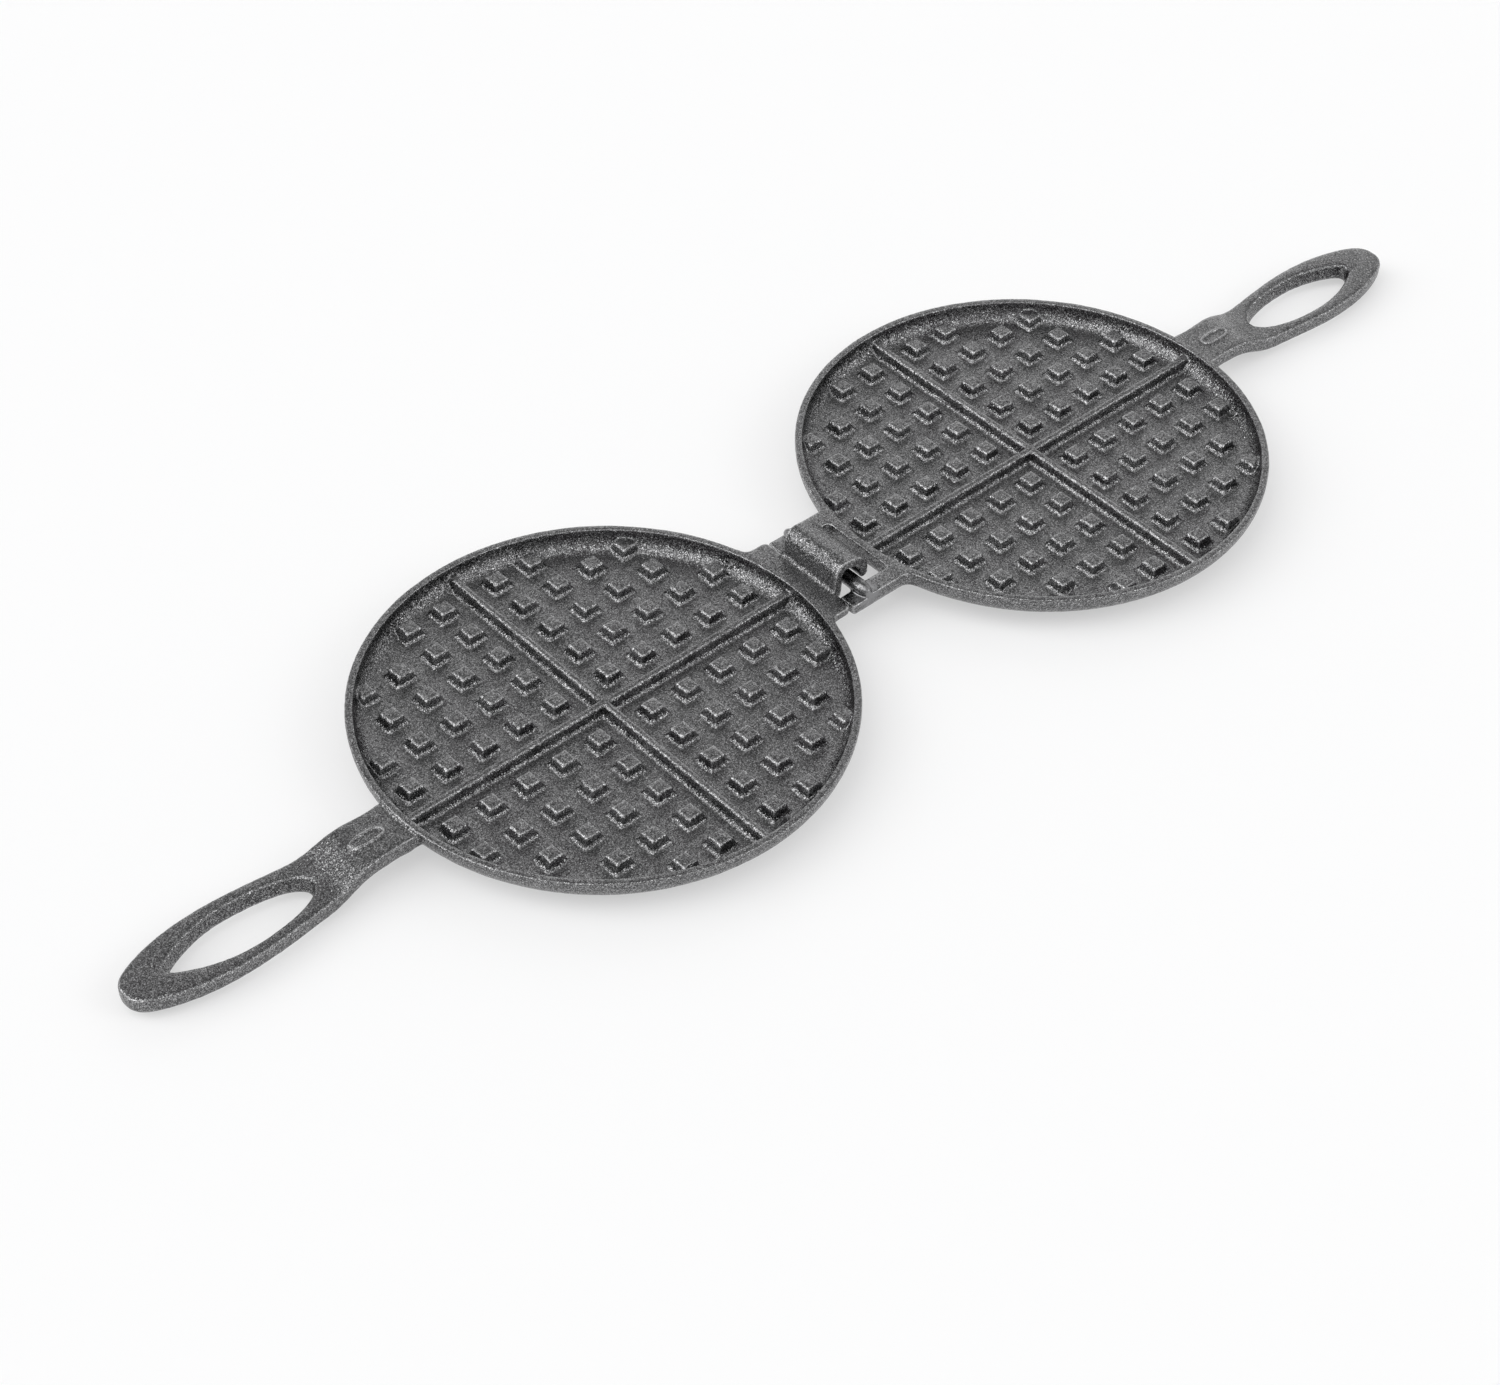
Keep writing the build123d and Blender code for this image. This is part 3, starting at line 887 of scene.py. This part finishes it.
@dataclass
class Griddle:
    """One casting: dish, handle and its side of the hinge.

    Attributes:
        half: Which casting it is.
        body: Name of the body that it rides on.
        outward: -1 or 1, the side of the hinge that its handle lies on.
        seed: Seed of its uneven skin.
        voxel: Voxel of the level set, in mm.
        band: How far the level set reaches on each side of the surface, in voxels.
        soft_edge: Blur that rounds its edges, in mm.
        soft_handle: Blur that rounds the handle's edges first, in mm.
        handle_length: Distance from the handle's tip up to which it does, in mm.
        handle_blend: Distance over which the handle's rounding sets in, in mm.
        lump_height: Unevenness of its broad surfaces, in mm.
        lump_size: Size of that unevenness, in mm.
        pebble_height: Unevenness of its skin, in mm.
        pebble_size: Size of that unevenness, in mm.
        thrift: How far flat places are meshed with fewer polygons.
        rubbed_reach: How far from the hinge axis the iron is rubbed, in mm.
        rubbed_blend: Distance over which that fades out, in mm.
        wear_and_highlight_from: Bend at which an edge starts to show wear and a painted highlight, per mm.
        wear_and_highlight_full: Bend at which it shows them in full, per mm.
        rim_wear_and_highlight: Share of the wear and painted highlight that the rim's edges show.
        rim_inside: Distance from the middle of the dish at which the rim starts, in mm.
        rim_outside: Distance from the middle of the dish at which the rim ends, in mm.
        wall: The round outside of its wall.
        cartouche: The oval on the root of its handle.
    """

    RUBBED = "rubbed"
    # Point attribute for edge wear with a painted highlight along the edges.
    WEAR_AND_HIGHLIGHT = "worn"

    half: Half
    body: str
    outward: float
    seed: int
    voxel: float = 0.38
    band: int = 7
    soft_edge: float = 0.30
    soft_handle: float = 0.85
    handle_length: float = 120.0
    handle_blend: float = 8.0
    lump_height: float = 0.07
    lump_size: float = 11.0
    pebble_height: float = 0.045
    pebble_size: float = 1.6
    thrift: float = 0.04
    rubbed_reach: float = 6.5
    rubbed_blend: float = 2.0
    wear_and_highlight_from: float = 0.35
    wear_and_highlight_full: float = 1.4
    rim_wear_and_highlight: float = 0.3
    rim_inside: float = 94.3
    rim_outside: float = 99.5
    wall: RoundWall = RoundWall()
    cartouche: Cartouche = Cartouche()

    def build(self, frame: dict) -> bpy.types.Object:
        """Shape the casting and put it in place of its node.


        Returns:
            The casting.
        """
        node = frame["nodes"][self.half.value]
        points, triangles = mesh_arrays(node.data)
        surface = BVHTree.FromPolygons([Vector(p) * MM for p in points.tolist()], triangles.tolist())
        tip = points[:, 0].min() if self.outward < 0 else points[:, 0].max()
        mould = Mould(voxel=self.voxel, band=self.band)
        mould.fill(points, triangles)
        self.wall.clean(mould, tip, self.outward)
        root = tip - self.outward * self.handle_length
        mould.soften_end(self.soft_handle, root, self.outward, self.handle_blend)
        mould.weld(*self.cartouche.mesh(tip, self.outward, surface))
        mould.soften(self.soft_edge)
        bend = mould.convexity()
        mould.unevenness(self.lump_height, self.lump_size, self.seed)
        mould.unevenness(self.pebble_height, self.pebble_size, self.seed + 1)
        mesh = mould.cast(f"{self.half.value}_casting", self.thrift)
        self._mark_wear_and_highlight(mesh, mould.sample(bend, mesh), tip)
        self._mark_rubbed(mesh, frame)
        casting = bpy.data.objects.new(mesh.name, mesh)
        bpy.context.scene.collection.objects.link(casting)
        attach(casting, self.body)
        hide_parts(self.half.value)
        LOG.info("%s: %d polygons", casting.name, len(mesh.polygons))
        return casting

    def _mark_wear_and_highlight(self, mesh: bpy.types.Mesh, bend: np.ndarray, tip: float) -> None:
        """Store how much wear and painted highlight each point shows, by how sharp an edge it lies on.

        Args:
            mesh: The casting's mesh.
            bend: How sharply the surface bends at each point, per mm.
            tip: X of the handle's tip, in mm.
        """
        # Sharp convex edges get wear and a painted highlight; the rim's edges get less of them.
        worn = np.clip((bend - self.wear_and_highlight_from) / (self.wear_and_highlight_full - self.wear_and_highlight_from), 0.0, 1.0)
        places = mesh_arrays(mesh)[0]
        dish = tip - self.outward * self.wall.tip_to_dish
        away = np.hypot(places[:, 0] - dish, places[:, 1])
        worn[(away > self.rim_inside) & (away < self.rim_outside)] *= self.rim_wear_and_highlight
        self._store(mesh, self.WEAR_AND_HIGHLIGHT, worn)

    def _mark_rubbed(self, mesh: bpy.types.Mesh, frame: dict) -> None:
        """Store how much the iron is rubbed at each point, round the hinge axis.

        Args:
            mesh: The casting's mesh.
        """
        hinge = next(joint for joint in frame["joints"] if joint["type"] == "hinge")
        axis = np.array(hinge["pos_m"]) / MM
        places = mesh_arrays(mesh)[0]
        away = np.hypot(places[:, 0] - axis[0], places[:, 2] - axis[2])
        rubbed = np.clip((self.rubbed_reach - away) / self.rubbed_blend, 0.0, 1.0)
        self._store(mesh, self.RUBBED, rubbed)

    @staticmethod
    def _store(mesh: bpy.types.Mesh, name: str, values: np.ndarray) -> None:
        """Store one number for each point of a mesh, for the material to read.

        Args:
            mesh: The mesh.
            name: Name of the attribute.
            values: The numbers.
        """
        layer = mesh.attributes.new(name, "FLOAT", "POINT")
        layer.data.foreach_set("value", values.astype(np.float32))

    def dress(self, casting: bpy.types.Object, finish: bpy.types.Material) -> None:
        """Give the casting its finish.

        Args:
            casting: The casting that build made.
            finish: The material.
        """
        casting.data.materials.append(finish)


# ------------------------------------------------------------------------------------------------
# Stage
# ------------------------------------------------------------------------------------------------


@dataclass
class Floor:
    """The pale floor that the iron lies on.

    Attributes:
        size: Edge of the floor, in metres.
        finish: Its paint.
    """

    size: float = 30.0
    finish: PaleFloor = PaleFloor()

    def build(self) -> bpy.types.Object:
        """Lay the floor at the height of the iron's feet.

        Returns:
            The floor.
        """
        half = self.size / 2
        mesh = bpy.data.meshes.new("floor")
        square = [(-half, -half, 0), (half, -half, 0), (half, half, 0), (-half, half, 0)]
        mesh.from_pydata(square, [], [(0, 1, 2, 3)])
        floor = bpy.data.objects.new("floor", mesh)
        bpy.context.scene.collection.objects.link(floor)
        mesh.materials.append(self.finish.material())
        LOG.info("floor: %.0f m square", self.size)
        return floor


@dataclass(frozen=True)
class LightPanel:
    """A soft box, seen from the iron as a round patch that fades out from its middle.

    Attributes:
        azimuth: Where it is, in degrees anticlockwise from +X.
        elevation: How high its middle is, in degrees.
        reach: Angle from its middle at which it has faded out, in degrees.
        strength: Brightness of its middle, where 1 is white.
    """

    azimuth: float
    elevation: float
    reach: float
    strength: float

    def direction(self) -> tuple[float, float, float]:
        """Return the unit vector towards the middle of the panel."""
        azimuth, elevation = math.radians(self.azimuth), math.radians(self.elevation)
        level = math.cos(elevation)
        return level * math.cos(azimuth), level * math.sin(azimuth), math.sin(elevation)


@dataclass
class StudioSky:
    """A white studio: large soft boxes round and over the iron, in a pale room.

    Attributes:
        base: Brightness of the room between the soft boxes.
        glow: Brightness that the foot of the walls adds, which makes it as pale as the backdrop.
        glow_top: Elevation at which that has faded out, in degrees.
        glow_full: Elevation below which it is in full, in degrees.
        backdrop: Brightness of the walls where the camera sees them itself.
        panels: The soft boxes.
    """

    base: float = 0.25
    glow: float = 0.72
    glow_top: float = 14.0
    glow_full: float = 2.0
    backdrop: float = 0.97
    panels: tuple[LightPanel, ...] = (
        LightPanel(azimuth=167.5, elevation=57.0, reach=38.0, strength=1.89),
        LightPanel(azimuth=227.5, elevation=57.0, reach=38.0, strength=0.58),
        LightPanel(azimuth=287.5, elevation=57.0, reach=38.0, strength=0.41),
        LightPanel(azimuth=47.5, elevation=26.0, reach=34.0, strength=0.92),
        LightPanel(azimuth=107.5, elevation=26.0, reach=34.0, strength=0.46),
        LightPanel(azimuth=167.5, elevation=26.0, reach=34.0, strength=0.18),
        LightPanel(azimuth=287.5, elevation=26.0, reach=34.0, strength=0.45),
        LightPanel(azimuth=347.5, elevation=26.0, reach=34.0, strength=0.57),
        LightPanel(azimuth=142.0, elevation=30.0, reach=24.0, strength=2.70),
        LightPanel(azimuth=305.0, elevation=32.0, reach=20.0, strength=2.40),
    )

    def build(self) -> bpy.types.World:
        """Build the world.

        Returns:
            The world, set as the scene's own.
        """
        world = bpy.data.worlds.new("studio_sky")
        world.use_nodes = True
        world.node_tree.nodes.clear()
        sheet = NodeSheet(world.node_tree)
        direction = sheet.add("TexCoord").outputs["Generated"]
        direction = sheet.add("VectorMath", {0: direction}, operation="NORMALIZE").outputs[0]
        height = sheet.add("SeparateXYZ", {0: direction}).outputs["Z"]
        top, full = (math.sin(math.radians(angle)) for angle in (self.glow_top, self.glow_full))
        glow = sheet.ramp(height, (top, full), (0.0, self.glow), "SMOOTHSTEP")
        light = sheet.math("ADD", self.base, glow)
        for panel in self.panels:
            toward = sheet.add("VectorMath", {0: direction, 1: panel.direction()}, operation="DOT_PRODUCT")
            edge = math.cos(math.radians(panel.reach))
            strength = (0.0, panel.strength)
            patch = sheet.ramp(toward.outputs["Value"], (edge, 1.0), strength, "SMOOTHSTEP")
            light = sheet.math("ADD", light, patch)
        seen = sheet.add("LightPath").outputs["Is Camera Ray"]
        shown = sheet.add("Mix", {0: seen, 2: light, 3: self.backdrop}, data_type="FLOAT").outputs[0]
        background = sheet.add("Background", {"Color": (1.0, 1.0, 1.0, 1.0), "Strength": shown})
        sheet.add("OutputWorld", {"Surface": background.outputs[0]})
        bpy.context.scene.world = world
        LOG.info("studio_sky: %d soft boxes", len(self.panels))
        return world


@dataclass
class ShotCamera:
    """The camera, by what it looks at and from where.

    Attributes:
        target: The point on the optical axis, in metres.
        azimuth: 0 looks along +Y and 90 along -X, in degrees.
        elevation: Height of the camera above the horizon, in degrees.
        roll: How far the camera's right side is raised, in degrees.
        distance: Distance to the target, in metres.
        lens: Focal length, in mm.
        sensor: Width of the sensor, in mm.
        near: Distance at which the view starts, in metres.
        far: Distance at which the view ends, in metres.
    """

    target: tuple[float, float, float] = (-0.0673, -0.0295, 0.010)
    azimuth: float = -42.466
    elevation: float = 43.951
    roll: float = 1.089
    distance: float = 1.23629
    lens: float = 77.055
    sensor: float = 36.0
    near: float = 0.05
    far: float = 100.0

    def build(self) -> bpy.types.Object:
        """Place the camera and make it the scene's own.

        Returns:
            The camera.
        """
        azimuth, elevation, roll = map(math.radians, (self.azimuth, self.elevation, self.roll))
        back = Vector(
            (
                math.cos(elevation) * math.sin(azimuth),
                -math.cos(elevation) * math.cos(azimuth),
                math.sin(elevation),
            )
        )
        level_right = Vector((0, 0, 1)).cross(back).normalized()
        level_up = back.cross(level_right)
        right = math.cos(roll) * level_right + math.sin(roll) * level_up
        up = math.cos(roll) * level_up - math.sin(roll) * level_right
        turn = Matrix((right, up, back)).transposed().to_4x4()
        data = bpy.data.cameras.new("shot_camera")
        data.lens = self.lens
        data.sensor_width = self.sensor
        data.sensor_fit = "HORIZONTAL"
        data.clip_start = self.near
        data.clip_end = self.far
        camera = bpy.data.objects.new("shot_camera", data)
        camera.matrix_world = Matrix.Translation(Vector(self.target) + self.distance * back) @ turn
        bpy.context.scene.collection.objects.link(camera)
        bpy.context.scene.camera = camera
        LOG.info("shot_camera: %.0f mm lens at %.2f m", self.lens, self.distance)
        return camera


def corners(box: tuple[Vector, Vector]) -> list[list[float]]:
    """Return a box's two corners as plain lists of numbers."""
    return [[float(value) for value in corner] for corner in box]


def main() -> None:
    """Build the castings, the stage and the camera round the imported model."""
    logging.basicConfig(level=logging.INFO, format="%(name)s: %(message)s")
    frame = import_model()

    iron = SeasonedIron(name="seasoned_iron").material()
    griddles = (
        Griddle(half=Half.HOOK, body="hook_half", outward=-1.0, seed=11),
        Griddle(half=Half.BAR, body="bar_half", outward=1.0, seed=23),
    )
    for griddle in griddles:
        casting = griddle.build(frame)
        griddle.dress(casting, iron)

    Floor().build()
    StudioSky().build()
    ShotCamera().build()
    bpy.context.scene.view_settings.view_transform = "Standard"


if __name__ == "__main__":
    main()
